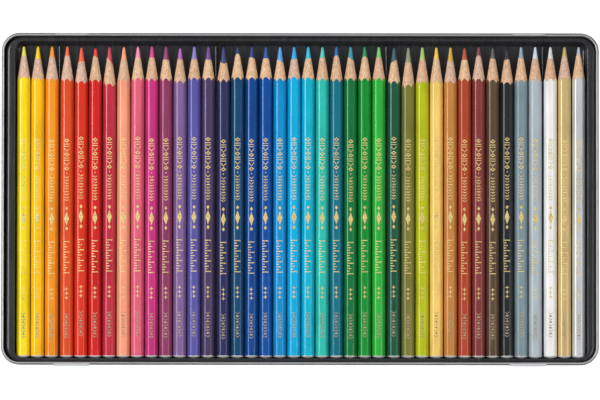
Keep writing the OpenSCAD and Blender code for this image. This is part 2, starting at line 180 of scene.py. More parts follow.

# How each point was cut, read off the enlarged photo, in millimetres: how much further down the
# wood reaches, how far the tip is set back, where the lead ends, its slant towards +X and its arch.
POINTS = (
    (0.0, 0.0, 5.4, 0.0, 0.2), (0.5, 0.0, 7.2, 0.1, 0.1), (0.5, 0.0, 6.1, 0.0, 0.1),
    (1.2, 0.0, 5.6, 0.1, 0.2), (2.2, 0.7, 8.6, -0.2, 0.0), (1.5, 1.0, 5.8, 0.6, 0.1),
    (3.4, 0.5, 8.0, 2.2, 0.0), (1.4, 0.3, 7.5, 0.2, 0.1), (1.0, 0.0, 6.5, 0.1, 0.1),
    (1.0, 0.0, 6.5, -0.2, 0.2), (1.0, 0.0, 7.5, 0.1, 0.0), (2.0, 1.0, 7.3, 0.2, 0.1),
    (0.6, 0.0, 7.3, -0.1, 0.1), (0.5, 0.0, 7.5, 0.1, 0.0), (1.5, 0.3, 9.2, 0.1, -0.6),
    (0.1, 0.1, 4.5, 0.1, 0.5), (0.6, 0.0, 6.4, 0.4, 0.1), (0.1, 0.0, 6.7, 0.0, 0.0),
    (1.1, 0.3, 8.2, 1.0, 0.0), (0.3, 0.1, 7.0, -0.3, 0.0), (0.1, 0.0, 6.8, -0.4, 0.0),
    (1.0, 0.2, 6.3, -0.3, -0.2), (1.1, 0.0, 5.4, 0.1, 0.4), (0.6, 0.0, 6.8, 1.1, 0.0),
    (0.6, 0.0, 5.9, 0.0, 0.5), (0.6, 0.1, 6.1, 0.1, -0.3), (2.4, 0.5, 8.2, -1.0, 0.0),
    (3.8, 0.5, 8.9, 0.1, 0.1), (2.1, 0.3, 7.5, -0.2, 0.1), (2.0, 0.3, 6.8, 0.2, 0.1),
    (2.4, 0.3, 8.2, 0.1, 0.0), (0.6, 0.7, 7.5, 0.1, 0.1), (0.6, 0.0, 5.4, 0.0, 0.5),
    (1.5, 0.7, 6.8, 0.2, 0.0), (2.3, 1.4, 7.2, -0.3, 0.1), (1.4, 0.0, 6.5, 0.1, 0.1),
    (1.0, 0.0, 6.8, 0.0, 0.1), (0.7, 0.0, 6.7, 0.1, 0.1), (0.1, 0.0, 5.4, 0.1, 0.0),
    (0.0, 0.0, 4.7, -0.1, 0.1),
)

# places of the foil marks, in millimetres from the tip
BAND_START = 51.8
BAND_BREAK = 71.6
BAND_END = 87.6
NEEDLE_START, NEEDLE_END = 90.3, 104.0
TICKS_START, TICKS_END = 110.2, 127.8
TICKS = 13
STARS_START, STARS_END = 135.8, 143.0
SMALL_START, SMALL_END = 150.3, 165.0


def linear(percent):
    """A display colour in percent as linear light."""
    out = []
    for value in percent:
        c = value / 100
        out.append(c / 12.92 if c <= 0.04045 else ((c + 0.055) / 1.055) ** 2.4)
    return (*out, 1.0)


# --- Node helpers -------------------------------------------------------------------------------


def fill(node, **values):
    """Sets a node's inputs by name, with _ for each space."""
    for key, value in values.items():
        node.inputs[key.replace("_", " ")].default_value = value


def shade(colour, factor, lift=0.0):
    """A colour made darker or lighter."""
    return tuple(min(1, c * factor + lift) for c in colour[:3]) + (1,)


class Shader:
    """A material's node tree, with short ways to add and join nodes."""

    def __init__(self, name):
        self.material = bpy.data.materials.new(name)
        self.material.use_nodes = True
        self.tree = self.material.node_tree
        self.principled = self.tree.nodes["Principled BSDF"]
        self.output = self.tree.nodes["Material Output"]

    def set(self, **values):
        fill(self.principled, **values)

    def feed(self, name, source):
        """Joins a source to an input of the principled shader."""
        self.link(source, self.principled.inputs[name])

    def node(self, kind, **settings):
        made = self.tree.nodes.new(kind)
        for key, value in settings.items():
            setattr(made, key, value)
        return made

    def link(self, source, target):
        self.tree.links.new(source, target)

    def coordinates(self, scale):
        """Object coordinates in metres, multiplied along X, Y and Z."""
        place = self.node("ShaderNodeTexCoord")
        mapping = self.node("ShaderNodeMapping")
        fill(mapping, Scale=scale)
        self.link(place.outputs["Object"], mapping.inputs["Vector"])
        return mapping.outputs["Vector"]

    def noise(self, scale, detail=3.0, roughness=0.5, distortion=0.0):
        made = self.node("ShaderNodeTexNoise")
        fill(made, Scale=1.0, Detail=detail, Roughness=roughness, Distortion=distortion)
        self.link(self.coordinates(scale), made.inputs["Vector"])
        return made.outputs["Fac"]

    def ramp(self, value, stops):
        made = self.node("ShaderNodeValToRGB")
        elements = made.color_ramp.elements
        while len(elements) < len(stops):
            elements.new(0.5)
        for element, (position, colour) in zip(elements, stops):
            element.position = position
            element.color = colour
        self.link(value, made.inputs["Fac"])
        return made.outputs["Color"]

    def span(self, value, low, high, from_low=0.3, from_high=0.7):
        """Maps a noise value to a range."""
        made = self.node("ShaderNodeMapRange")
        fill(made, From_Min=from_low, From_Max=from_high, To_Min=low, To_Max=high)
        self.link(value, made.inputs["Value"])
        return made.outputs["Result"]

    def mix(self, factor, first, second, blend="MIX"):
        made = self.node("ShaderNodeMix", data_type="RGBA", blend_type=blend)
        for value, socket in ((factor, "Factor"), (first, 6), (second, 7)):
            target = made.inputs[socket]
            if isinstance(value, (int, float, tuple)):
                target.default_value = value
            else:
                self.link(value, target)
        return made.outputs[2]

    def bump(self, layers):
        """Stacks bump layers of (height, strength, distance in metres)."""
        normal = None
        for height, strength, distance in layers:
            made = self.node("ShaderNodeBump")
            fill(made, Strength=strength, Distance=distance)
            self.link(height, made.inputs["Height"])
            if normal is not None:
                self.link(normal, made.inputs["Normal"])
            normal = made.outputs["Normal"]
        self.feed("Normal", normal)


# --- Materials ----------------------------------------------------------------------------------


def tin_material(name, tone):
    """Satin tin plate: fine rolling lines along X, soft blotches and small scuffs."""
    s = Shader(name)
    lines = s.noise((60, 5200, 5200), detail=2.0)
    blotches = s.noise((35, 35, 35), detail=4.0)
    scuffs = s.noise((900, 260, 900), detail=6.0, roughness=0.7)
    dim = (tone * 0.93, tone * 0.94, tone * 0.96, 1)
    base = s.ramp(blotches, [(0.3, dim), (0.7, (tone, tone, tone, 1))])
    worn = s.ramp(scuffs, [(0.42, (0.86, 0.86, 0.87, 1)), (0.56, (1, 1, 1, 1))])
    s.feed("Base Color", s.mix(0.5, base, worn, "MULTIPLY"))
    s.set(Metallic=1.0)
    s.feed("Roughness", s.span(lines, 0.52, 0.66))
    s.bump([(lines, 0.12, 0.00002), (scuffs, 0.08, 0.00003)])
    return s.material


def tray_material():
    """Black formed sheet: soft sheen, drawn streaks, faint dust and pigment specks."""
    s = Shader("tray_plastic")
    grain = s.noise((2600, 2600, 2600), detail=3.0)
    drawn = s.noise((700, 28, 90), detail=4.0, roughness=0.6)
    dust = s.noise((420, 420, 420), detail=7.0, roughness=0.75)
    base = s.ramp(drawn, [(0.3, (0.021, 0.022, 0.025, 1)), (0.72, (0.036, 0.037, 0.041, 1))])
    dusty = s.ramp(dust, [(0.60, (0, 0, 0, 1)), (0.78, (1, 1, 1, 1))])
    colour = s.mix(s.span(dusty, 0.0, 0.30, 0.0, 1.0), base, (0.11, 0.11, 0.115, 1))
    s.feed("Base Color", colour)
    s.feed("Roughness", s.span(drawn, 0.17, 0.28))
    s.set(Specular_IOR_Level=0.62)
    s.bump([(drawn, 0.10, 0.00008), (grain, 0.06, 0.00002)])
    return s.material


def lacquer_material(name, percent):
    """Gloss lacquer over wood: the grain shows through as long soft waves, with small scuffs."""
    s = Shader("lacquer_" + name)
    colour = linear(percent)
    waves = s.noise((900, 22, 900), detail=3.0)
    blotches = s.noise((160, 45, 160), detail=3.0)
    scuffs = s.noise((2400, 420, 2400), detail=5.0, roughness=0.7)
    base = s.ramp(blotches, [(0.28, shade(colour, 0.86)), (0.5, colour), (0.75, shade(colour, 1.06, 0.003))])
    if name in METALLIC_PAINTS:
        flakes = s.noise((9000, 9000, 9000), detail=1.0)
        sparkle = s.ramp(flakes, [(0.35, (0.72, 0.72, 0.72, 1)), (0.65, (1, 1, 1, 1))])
        base = s.mix(0.6, base, sparkle, "MULTIPLY")
        s.set(Metallic=0.15)
    s.feed("Base Color", base)
    s.feed("Roughness", s.span(scuffs, 0.17, 0.29))
    s.set(Specular_IOR_Level=0.40, Coat_Weight=0.22, Coat_Roughness=0.12)
    s.bump([(waves, 0.10, 0.00006), (scuffs, 0.05, 0.00002)])
    return s.material


def dip_material():
    """Thick cream-white dip, slightly soiled where it has been handled."""
    s = Shader("white_dip")
    soil = s.noise((700, 700, 700), detail=6.0, roughness=0.7)
    soiled, clean, bright = (0.66, 0.63, 0.58, 1), (0.93, 0.92, 0.89, 1), (0.98, 0.97, 0.95, 1)
    base = s.ramp(soil, [(0.30, soiled), (0.48, clean), (0.8, bright)])
    s.feed("Base Color", base)
    s.feed("Roughness", s.span(soil, 0.42, 0.30))
    s.bump([(soil, 0.15, 0.00006)])
    return s.material


def wood_material(name, hue):
    """Sharpened cedar: fine straight fibres, short dark pores and rings left by the cutter."""
    s = Shader(name)
    fibres = s.noise((4200, 130, 4200), detail=5.0, roughness=0.65, distortion=0.25)
    pores = s.noise((7000, 520, 7000), detail=2.0)
    mottle = s.noise((1300, 420, 1300), detail=3.0, roughness=0.6, distortion=0.4)
    rings = s.node("ShaderNodeTexWave", wave_type="BANDS", bands_direction="Y")
    fill(rings, Scale=1.0, Distortion=1.2)
    s.link(s.coordinates((300, 2300, 300)), rings.inputs["Vector"])
    light, middle, dark = hue
    base = s.ramp(fibres, [(0.28, dark), (0.47, middle), (0.66, light)])
    tone = s.ramp(mottle, [(0.34, (0.74, 0.66, 0.60, 1)), (0.62, (1.08, 1.08, 1.08, 1))])
    base = s.mix(0.9, base, tone, "MULTIPLY")
    pored = s.ramp(pores, [(0.33, (0.62, 0.50, 0.42, 1)), (0.42, (1, 1, 1, 1))])
    s.feed("Base Color", s.mix(0.7, base, pored, "MULTIPLY"))
    s.set(Roughness=0.72, Specular_IOR_Level=0.25)
    s.bump([(fibres, 0.35, 0.00005), (pores, 0.20, 0.00003), (rings.outputs["Fac"], 0.10, 0.00002)])
    return s.material


def lead_material(name, percent):
    """Pressed pigment and wax: fine cutter lines round the cone, small crumbs and a dull sheen."""
    s = Shader("lead_" + name)
    colour = linear(percent)
    crumbs = s.noise((5200, 5200, 5200), detail=4.0, roughness=0.6)
    streaks = s.noise((2600, 260, 2600), detail=3.0)
    base = s.ramp(streaks, [(0.3, shade(colour, 0.78)), (0.5, colour), (0.72, shade(colour, 1.12, 0.006))])
    s.feed("Base Color", base)
    s.feed("Roughness", s.span(crumbs, 0.42, 0.60))
    s.bump([(crumbs, 0.25, 0.00004), (streaks, 0.15, 0.00003)])
    return s.material


def foil_material(name, dark, middle, light):
    """Hot-stamped pale gold foil in patches from dark brown to pale yellow: the light patches are painted
    glints, the dark ones painted dark reflections.
    """
    s = Shader(name)
    glint_patches = s.noise((1700, 1300, 1700), detail=5.0, roughness=0.7)
    # painted glints in the light tone and painted dark reflections in the dark one
    base = s.ramp(glint_patches, [(0.36, dark), (0.48, middle), (0.66, light)])
    s.feed("Base Color", base)
    s.set(Metallic=0.35)
    s.feed("Roughness", s.span(glint_patches, 0.45, 0.30))
    s.bump([(glint_patches, 0.15, 0.00003)])
    return s.material


# --- Mesh helpers -------------------------------------------------------------------------------


def new_object(name, points, faces, materials, face_slots=None, sharp_angle=35.0, sharp_rings=()):
    """A smooth-shaded mesh object from points in millimetres."""
    mesh = bpy.data.meshes.new(name)
    mesh.from_pydata([tuple(c * MM for c in p) for p in points], [], faces)
    for material in materials:
        mesh.materials.append(material)
    if face_slots:
        mesh.polygons.foreach_set("material_index", face_slots)
    mesh.validate()
    mesh.shade_smooth()
    mesh.set_sharp_from_angle(angle=math.radians(sharp_angle))
    for ring in sharp_rings:
        for edge in mesh.edges:
            if edge.vertices[0] in ring and edge.vertices[1] in ring:
                edge.use_edge_sharp = True
    mesh.update()
    made = bpy.data.objects.new(name, mesh)
    bpy.context.scene.collection.objects.link(made)
    return made


def dress(piece, body, node):
    """Says which body a piece moves with, which node it replaces."""
    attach(piece, body)
    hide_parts(node)


def stitch(ring_count, ring_length):
    """Quads between rings of equal length, each ring closed on itself."""
    faces = []
    for i in range(ring_count - 1):
        a, b = i * ring_length, (i + 1) * ring_length
        for j in range(ring_length):
            k = (j + 1) % ring_length
            faces.append((a + j, a + k, b + k, b + j))
    return faces


CORNER_STEPS = 14  # steps round a quarter circle


def between(steps):
    """The places that part a side into equal steps, without its ends."""
    return [k / steps for k in range(1, steps)]


def rounded_ring(west, east, south, north, radius, height, along_x=(), along_y=()):
    """A rounded rectangle as a ring of points, anticlockwise from the top of its east side.
    along_x and along_y are places between the corners, from 0 at the low end to 1."""
    ring = []
    corners = (
        (east - radius, north - radius, 0),
        (west + radius, north - radius, 90),
        (west + radius, south + radius, 180),
        (east - radius, south + radius, 270),
    )
    for index, (centre_x, centre_y, start) in enumerate(corners):
        for step in range(CORNER_STEPS + 1):
            angle = math.radians(start + 90 * step / CORNER_STEPS)
            ring.append((centre_x + radius * math.cos(angle), centre_y + radius * math.sin(angle), height))
        backwards = index < 2
        places = along_y if index % 2 else along_x
        for t in reversed(places) if backwards else places:
            if index % 2:
                y = south + radius + t * (north - south - 2 * radius)
                ring.append((west if backwards else east, y, height))
            else:
                x = west + radius + t * (east - west - 2 * radius)
                ring.append((x, north if backwards else south, height))
    return ring


# --- The two pans of tin plate ------------------------------------------------------------------

BEND_STEPS = 8
ROLL_IN_STEPS = 16
ROLL_OUT_STEPS = 22
ROLL_END = -140  # degrees, where the rolled edge comes back to the wall
BEND_ROWS = BEND_STEPS + 2  # points of the profile up to the end of the bend
ROLL_ROWS = BEND_ROWS + ROLL_IN_STEPS + ROLL_OUT_STEPS + 2  # and up to the end of the roll
WALL_STEP = 0.35
WALL_MARGIN = 0.2
LONG_SIDE_STEPS = 30
SHORT_SIDE_STEPS = 12
SNAP_STEPS = 22


def arc(cx, cy, radius, start, end, steps):
    """Points round part of a circle, between two angles in degrees."""
    return [
        (cx + radius * math.cos(math.radians(start + (end - start) * k / steps)),
         cy + radius * math.sin(math.radians(start + (end - start) * k / steps)))
        for k in range(steps + 1)
    ]


def pan_profile(reach, height, roll_diameter):
    """Outline of the bent sheet, from the floor's underside round the rolled edge to the floor's top.
    Its first value is the distance outwards from the corners' centres."""
    inner_bend = BEND_RADIUS - SHEET
    bend_x, bend_z = reach - BEND_RADIUS, BEND_RADIUS
    roll = roll_diameter / 2
    roll_x, roll_z = reach - SHEET + roll, height - roll
    outside = [(FLOOR_REACH, 0)] + arc(bend_x, bend_z, BEND_RADIUS, -90, 0, BEND_STEPS)
    inside = arc(bend_x, bend_z, inner_bend, 0, -90, BEND_STEPS) + [(FLOOR_REACH, SHEET)]
    # the edge is rolled outwards, over the top, down and back towards the wall
    rolled_in = arc(roll_x, roll_z, roll - SHEET, 180, ROLL_END, ROLL_IN_STEPS)
    rolled_out = arc(roll_x, roll_z, roll, ROLL_END, 180, ROLL_OUT_STEPS)
    return outside + rolled_in + rolled_out + inside


def snap_positions(half_length):
    """Places along a long side, from 0 to 1, closer together at the two snaps."""
    places = set()
    for step in range(1, LONG_SIDE_STEPS):
        places.add(round(-half_length + 2 * half_length * step / LONG_SIDE_STEPS, 3))
    reach = SNAP_STEPS // 2 + 2
    for side in (-1, 1):
        for step in range(-reach, reach + 1):
            places.add(round(side * SNAP_OFFSET + step * SNAP_LENGTH / SNAP_STEPS, 3))
    return [(x + half_length) / (2 * half_length) for x in sorted(places) if abs(x) < half_length]


def snap_bulge(x, z, centre_z, depth):
    """How far a snap pushes the long wall outwards at a place on it."""
    past = max(0.0, abs(abs(x) - SNAP_OFFSET) - SNAP_LENGTH / 2 + SNAP_FADE)
    along = max(0.0, 1 - past / SNAP_FADE)
    across = max(0.0, 1 - (abs(z - centre_z) / SNAP_HALF_HEIGHT) ** 2)
    return depth * math.sqrt(along) * across


def tin_pan(body, corner, roll, snap_z, snap_depth, outside, inside):
    """A pressed pan with a rolled edge and two snaps in each long side."""
    nodes = [f"{body}_{part}" for part in ("floor", "sides", "corners")]
    low, high = (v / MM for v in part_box(f"{body}_corners"))
    height = high.z - low.z
    middle = (low + high) / 2
    half_x, half_y = ((high - low) / 2 - Vector((1, 1, 0)) * (roll - SHEET)).xy
    bends = pan_profile(corner, height, roll)
    along_x = snap_positions(half_x - corner)
    along_y = between(SHORT_SIDE_STEPS)
    wall_steps = int((height - roll - BEND_RADIUS - 2 * WALL_MARGIN) / WALL_STEP)
    wall_rows = [BEND_RADIUS + WALL_MARGIN + k * WALL_STEP for k in range(wall_steps + 1)]
    profile = (
        bends[:BEND_ROWS] + [(corner, z) for z in wall_rows]
        + bends[BEND_ROWS:ROLL_ROWS] + [(corner - SHEET, z) for z in reversed(wall_rows)]
        + bends[ROLL_ROWS:]
    )
    points = []
    for u, z in profile:
        inset = corner - u
        ring = rounded_ring(-half_x + inset, half_x - inset, -half_y + inset, half_y - inset,
                            u, z, along_x, along_y)
        for x, y, z in ring:
            # only the two long walls bulge, not their corners or the roll
            in_sheet = corner - SHEET * 1.01 < u < corner + 0.001
            on_wall = in_sheet and abs(abs(y) - half_y + inset) < 0.01
            out = snap_bulge(x, z, snap_z, snap_depth) if on_wall else 0.0
            points.append((x + middle.x, y + math.copysign(out, y) + middle.y, z + low.z))
    count = len(points) // len(profile)
    faces = stitch(len(profile), count)
    last = (len(profile) - 1) * count
    # the plain floor's underside and top
    faces += [tuple(reversed(range(count))), tuple(range(last, last + count))]
    inner_row = ROLL_ROWS + len(wall_rows)
    # from the inner wall on, the faces take the second material, the darker inside tin: painted shade
    slots = [int(row >= inner_row) for row in range(len(profile) - 1) for _ in range(count)] + [0, 1]
    made = new_object(body + "_pan", points, faces, [outside, inside], slots)
    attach(made, body)
    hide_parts(*nodes)


def build_tin():
    base_height = (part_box("base_corners")[1].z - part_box("base_corners")[0].z) / MM
    # the inside is the same tin at a darker tone: painted shade that darkens the groove between the base's
    # rim and the tray, and the lid's inside with it
    outside, inside = tin_material("tin_outside", 0.62), tin_material("tin_inside_painted_shade", 0.42)
    tin_pan("lid", LID_CORNER, HEM_DIAMETER, SNAP_DROP + SHEET, POCKET_DEPTH, outside, inside)
    tin_pan("base", BASE_CORNER, RIM_DIAMETER, base_height - SNAP_DROP, BEAD_DEPTH, outside, inside)


# --- The formed tray ----------------------------------------------------------------------------


def groove_columns(centres, dividers, wall_x):
    """Columns across the floor as (x, groove profile 0 to 1, divider profile 0 to 1).
    A groove's or divider's own columns are given from its middle outwards, and lie on both sides."""
    foot = FLATS / 2 * math.tan(math.radians(30)) + GROOVE_CLEARANCE / math.cos(math.radians(30))
    mouth = foot + RIDGE_HEIGHT * math.tan(math.radians(30))
    half = DIVIDER_THICKNESS / 2
    groove_side = ((foot - 0.15, 0.0), (foot + 0.12, 0.09), (mouth - 0.12, 0.93), (mouth + 0.1, 1.0))
    divider_side = ((half - 0.22, 0.98), (half - 0.06, 0.85), (half + 0.04, 0.08), (half + 0.22, 0.0))
    rows = [(x, 0.0, 0.0) for x in centres] + [(x, 1.0, 1.0) for x in dividers]
    for sign in (-1, 1):
        rows += [(x + sign * out, groove, 0.0) for x in centres for out, groove in groove_side]
        rows += [(x + sign * out, 1.0, divider) for x in dividers for out, divider in divider_side]
    rows += [(sign * (wall_x - 0.3), 1.0, 0.0) for sign in (-1, 1)]
    return sorted(rows)


def build_tray():
    low, high = (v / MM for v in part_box("tray_corners"))
    middle_x = (low.x + high.x) / 2
    flange_z = high.z
    well_z = low.z + TRAY_SHEET
    butts, tips = (v.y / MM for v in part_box(PENCIL_NODES[0]))
    centres = [(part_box(n)[0].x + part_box(n)[1].x) / 2 / MM - middle_x for n in PENCIL_NODES]
    ends = [sum(GROUPS[:g]) for g in range(1, len(GROUPS))]
    dividers = [(centres[g - 1] + centres[g]) / 2 for g in ends]
    west, east = low.x - middle_x, high.x - middle_x
    south, north = low.y, high.y
    hollow = (west + SIDE_FLANGE + HOLLOW_SWELL, east - SIDE_FLANGE - HOLLOW_SWELL,
              south + FRONT_FLANGE + HOLLOW_SWELL, north - BACK_FLANGE - HOLLOW_SWELL)
    depth = flange_z - well_z

    def wall(z, inset=0.0):
        """Bounds of the drafted hollow at a height, drawn in by inset."""
        t = (flange_z - z) / depth
        return (hollow[0] + SIDE_DRAFT * t + inset, hollow[1] - SIDE_DRAFT * t - inset,
                hollow[2] + FRONT_DRAFT * t + inset, hollow[3] - BACK_DRAFT * t - inset)

    # skirt, shoulder, flange, rounded edge, leaning wall and the fillet to the wells
    along_x, along_y = between(16), between(10)
    quarter = [math.radians(angle) for angle in range(0, 91, 15)]
    rings = []

    def outer(inset, z):
        rings.append(rounded_ring(west - HOLLOW_SWELL + inset, east - inset,
                                  south - SKIRT_SWELL + inset, north + SKIRT_SWELL - inset,
                                  TRAY_CORNER - inset, z, along_x, along_y))

    def inner(bounds, radius, z):
        rings.append(rounded_ring(*bounds, radius, z, along_x, along_y))

    outer(0.0, flange_z - SKIRT_DEPTH)
    for a in quarter:
        outer(SHOULDER * (1 - math.cos(a)), flange_z - SHOULDER + SHOULDER * math.sin(a))
    for a in quarter:
        z = flange_z - FLANGE_EDGE * (1 - math.cos(a))
        inset = -FLANGE_EDGE * (1 - math.sin(a))
        inner(wall(z, inset), HOLLOW_CORNER - inset, z)
    for part in (0.25, 0.5, 0.75):
        z = flange_z - FLANGE_EDGE - part * (depth - FLANGE_EDGE - FILLET)
        inner(wall(z), HOLLOW_CORNER - HOLLOW_TAPER * min(1.0, part / TAPER_SHARE), z)
    for a in quarter:
        z = well_z + FILLET * (1 - math.sin(a))
        inset = FILLET * (1 - math.cos(a))
        inner(wall(z, inset), HOLLOW_CORNER - HOLLOW_TAPER - inset * 0.5, z)
    count = len(rings[0])
    points = [p for ring in rings for p in ring]
    faces = stitch(len(rings), count)

    # floor of the wells and the grooved platform, as one field of heights
    platform_front, platform_back = butts + BUTT_WELL, tips - TIP_WELL
    columns = groove_columns(centres, dividers, wall(well_z)[1])
    rows = [(wall(well_z)[2] + 0.1, 0.0), (butts + 1.0, 0.0), (butts + 7.0, 0.0)]
    rows += [(platform_front + y, up) for y, up in PLATFORM_RISE]
    rows += [(platform_front + (platform_back - platform_front) * t, 1.0) for t in between(PLATFORM_STEPS)]
    rows += [(platform_back - y, up) for y, up in reversed(PLATFORM_RISE)]
    rows += [(tips - 18, 0.0), (tips - 9, 0.0), (tips, 0.0), (wall(well_z)[3] - 0.1, 0.0)]
    start = len(points)
    for y, up in rows:
        for x, groove, divider in columns:
            z = well_z + up * (RIDE_HEIGHT + groove * RIDGE_HEIGHT) + (1 - up) * divider * DIVIDER_HEIGHT
            z = max(z, well_z + divider * DIVIDER_HEIGHT) if divider and up < 1 else z
            if abs(x) > wall(well_z)[1] - 0.5:
                x = math.copysign(wall(z)[1] + 0.15, x)  # the outermost columns follow the leaning walls
            points.append((x, y, z))
    width = len(columns)
    for r in range(len(rows) - 1):
        for c in range(width - 1):
            a = start + r * width + c
            faces.append((a, a + 1, a + width + 1, a + width))
    points = [(x + middle_x, y, z) for x, y, z in points]
    made = new_object("formed_tray", points, faces, [tray_material()], sharp_angle=50)
    thick = made.modifiers.new("sheet", "SOLIDIFY")
    thick.thickness = TRAY_SHEET * DRAWN_SHEET * MM
    thick.offset = -1
    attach(made, "tray")
    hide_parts(*TRAY_NODES)


# --- Pencils ------------------------------------------------------------------------------------

# from the axis to the centre of a corner's rounding, which is also the distance between two of them
CORNER_REACH = ((CORNERS - FLATS) / 2 + FACET_BULGE) / (1 - math.cos(math.radians(30)))


def facet_drop(across):
    """How far a flat lies below its middle at a distance from it."""
    return FACET_BULGE * (across / (CORNER_REACH / 2)) ** 2


def hexagon_section():
    """Points round a hexagon with rounded corners and faintly convex flats, one flat on top."""
    corner = CORNERS / 2 - CORNER_REACH
    points = []
    for k in range(6):
        direction = math.radians(60 * k)
        cx, cy = CORNER_REACH * math.cos(direction), CORNER_REACH * math.sin(direction)
        for step in range(-3, 4):
            angle = direction + math.radians(10 * step)
            points.append((cx + corner * math.cos(angle), cy + corner * math.sin(angle)))
        turn = direction + math.radians(30)
        following = math.radians(60 * (k + 1))
        nx, ny = CORNER_REACH * math.cos(following), CORNER_REACH * math.sin(following)
        middle = FLATS / 2 - CORNER_REACH * math.cos(math.radians(30))
        for part in FACET_PARTS:
            out = middle - facet_drop((part - 0.5) * CORNER_REACH)
            x = cx + (nx - cx) * part + out * math.cos(turn)
            y = cy + (ny - cy) * part + out * math.sin(turn)
            points.append((x, y))
    return points


SECTION = hexagon_section()


class Pencil:
    """One pencil, modelled with its tip at 0 and its axis along +Z, then laid into the tray."""

    def __init__(self, index, node):
        word, number, self.paint = node.split("_", 2)
        self.node = node
        self.body = word + "_" + number
        self.number = index + 1
        low, high = (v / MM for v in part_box(node))
        self.axis_x = (low.x + high.x) / 2
        self.axis_z = (low.z + high.z) / 2
        self.tip_y = high.y
        self.length = high.y - low.y
        self.chance = random.Random(SEED + index)
        further, self.setback, self.lead_middle, self.lead_slant, self.lead_arch = POINTS[index]
        self.slope = (FLATS / 2 - TIP_RADIUS) / (CONE_LENGTH + further - self.setback)
        turn = self.chance.uniform(0, math.tau)
        shift = self.chance.uniform(0.0, 0.11)
        self.cone_axis = (shift * math.cos(turn), shift * math.sin(turn))
        self.waves = [(self.chance.randint(2, 9), self.chance.uniform(0, math.tau)) for _ in range(4)]

    def lay(self, point):
        """From the pencil's own axes to the row frame."""
        x, y, z = point
        return (self.axis_x + x, self.tip_y - z, self.axis_z + y)

    def dress(self, piece):
        dress(piece, self.body, self.node)

    def ragged(self, angle, size):
        """The uneven part of an edge round the pencil."""
        return size * sum(math.sin(n * angle + p) / n ** 0.5 for n, p in self.waves) / 2

    def lead_end(self, angle):
        """Where the wood begins on the cone, seen at an angle round the axis."""
        tilted = self.lead_slant * math.cos(angle) - self.lead_arch * math.cos(2 * angle - math.pi)
        return self.lead_middle + tilted + self.ragged(angle, 0.14)

    def on_cone(self, direction, z, sink=0.0):
        """A point of the cut cone, or as far below it as sink says."""
        radius = TIP_RADIUS + (z - self.setback) * self.slope - sink
        return (self.cone_axis[0] + direction[0] * radius, self.cone_axis[1] + direction[1] * radius, z)

    def casing(self, lacquer, wood, dip):
        """Closed skin of the casing: bore edge, wood cone, lacquered barrel and dipped end."""
        columns = []
        for x, y in SECTION:
            dx, dy = x - self.cone_axis[0], y - self.cone_axis[1]
            reach = math.hypot(dx, dy)
            direction = (dx / reach, dy / reach)
            angle = math.atan2(dy, dx)
            start = self.lead_end(angle)
            cut = FLATS / 2 + (reach - FLATS / 2) * SCALLOP
            crease = self.setback + (cut - TIP_RADIUS) / self.slope + self.ragged(angle * 5, 0.28)
            size = math.hypot(x, y)
            film = (size - LACQUER) / size
            bare = (size - LACQUER - 0.035) / size
            column = [self.on_cone(direction, start + along, sink) for along, sink in BORE_RINGS]
            column += [self.on_cone(direction, start + (crease - start) * part) for part in CONE_RINGS]
            column.append((x * bare, y * bare, crease))
            column += [(x * film, y * film, crease + step) for step in (-0.03, 0.12)]
            rim = DOME_RADIUS - math.sqrt(DOME_RADIUS ** 2 - size ** 2)
            dip_edge = self.length - max(DIP_LENGTH, rim + 0.12) + self.ragged(angle, 0.04)
            column += [(x * film, y * film, z) for z in (*BARREL_RINGS, dip_edge - 1.0, dip_edge - 0.02)]
            column.append((x, y, dip_edge))
            for shrink in DOME_RINGS:
                soft_edge = 0.05 * max(0.0, (shrink - 0.9) / 0.1) ** 2
                drop = DOME_RADIUS - math.sqrt(DOME_RADIUS ** 2 - (size * shrink) ** 2)
                column.append((x * shrink, y * shrink, self.length - drop - soft_edge))
            columns.append(column)
        height, count = len(columns[0]), len(columns)
        points = [self.lay(columns[c][h]) for h in range(height) for c in range(count)]
        faces = stitch(height, count)
        wood_rows, lacquer_rows = len(BORE_RINGS) + len(CONE_RINGS), 4 + len(BARREL_RINGS)
        slots = []
        for row in range(height - 1):
            kind = 1 if row < wood_rows else 0 if row < wood_rows + lacquer_rows else 2
            slots += [kind] * count
        crown, last = len(points), (height - 1) * count
        points.append(self.lay((0, 0, self.length - 0.002)))
        faces += [(last + c, last + (c + 1) % count, crown) for c in range(count)]
        faces.append(tuple(reversed(range(count))))
        slots += [2] * count + [1]
        faces = [tuple(reversed(f)) for f in faces]
        # the creases at the wood's edge and at the lacquer's edge
        creases = [set(range(row * count, (row + 1) * count)) for row in (wood_rows, wood_rows + 1)]
        self.dress(new_object(self.body + "_casing", points, faces, [lacquer, wood, dip], slots,
                              sharp_rings=creases))

    def lead(self, material):
        """The sharpened end of the lead, closed a little way inside the wood."""
        angles = [math.tau * k / LEAD_STEPS for k in range(LEAD_STEPS)]
        rounding = POINT_RINGS[-1]
        points = []
        for depth in POINT_RINGS:
            for angle in angles:
                t = depth / rounding
                radius = (TIP_RADIUS + depth * self.slope) * math.sqrt(1 - (1 - t) ** 2.4)
                radius *= 1 + 0.05 * math.sin(3 * angle + self.number) * (1 - t)
                x = self.cone_axis[0] + radius * math.cos(angle)
                y = self.cone_axis[1] + radius * math.sin(angle)
                points.append((x, y, self.setback + depth))
        start = self.setback + rounding
        for part in LEAD_RINGS:
            for angle in angles:
                z = start + (self.lead_end(angle) + 0.12 - start) * part
                points.append(self.on_cone((math.cos(angle), math.sin(angle)), z, 0.02 + 0.08 * part))
        for angle in angles:
            points.append(self.on_cone((math.cos(angle), math.sin(angle)), self.lead_end(angle) + 0.9, 0.34))
        rows = len(POINT_RINGS) + len(LEAD_RINGS) + 1
        faces = stitch(rows, LEAD_STEPS)
        tip = len(points)
        points.append((*self.cone_axis, self.setback))
        faces += [((k + 1) % LEAD_STEPS, k, tip) for k in range(LEAD_STEPS)]
        faces.append(tuple(range(tip - LEAD_STEPS, tip)))
        faces = [tuple(reversed(f)) for f in faces]
        self.dress(new_object(self.body + "_lead", [self.lay(p) for p in points], faces, [material]))

